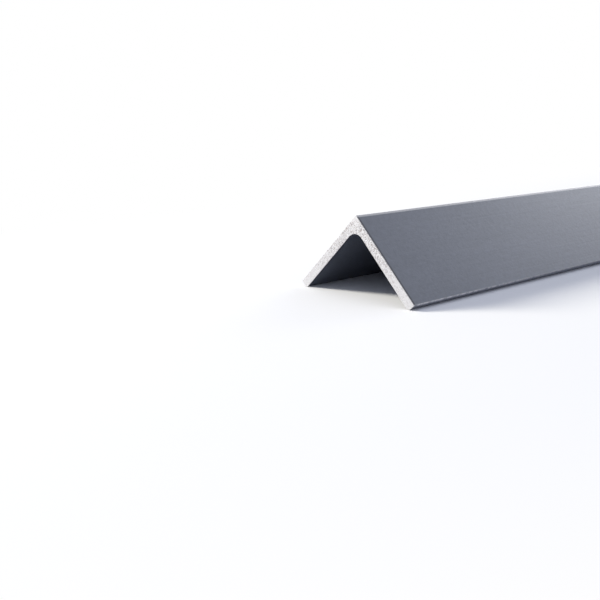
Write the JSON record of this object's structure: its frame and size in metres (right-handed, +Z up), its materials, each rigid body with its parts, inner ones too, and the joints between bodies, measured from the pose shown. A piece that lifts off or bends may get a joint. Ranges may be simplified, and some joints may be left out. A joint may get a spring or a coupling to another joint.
{
  "type": "metal angle section",
  "caption": "Straight hot rolled equal-leg steel angle with a sharp heel, filleted root, rounded toes and square-cut ends, lying on its toes; stock for frames, brackets and edging.",
  "frame": {"origin": "on the floor under the middle of the bar, at the bottom centre of its box", "axes": "+X along the bar, +Y across it from one toe to the other, +Z up through the heel"},
  "size_m": [1.5, 0.1264, 0.0676],
  "materials": {
    "rolled_steel": "smooth blue-grey rolled skin with a fine grain and a satin sheen; cut ends bare, pale and finely ground"
  },
  "bodies": {
    "root": {"angle_section": "rolled_steel"}
  },
  "joints": []
}
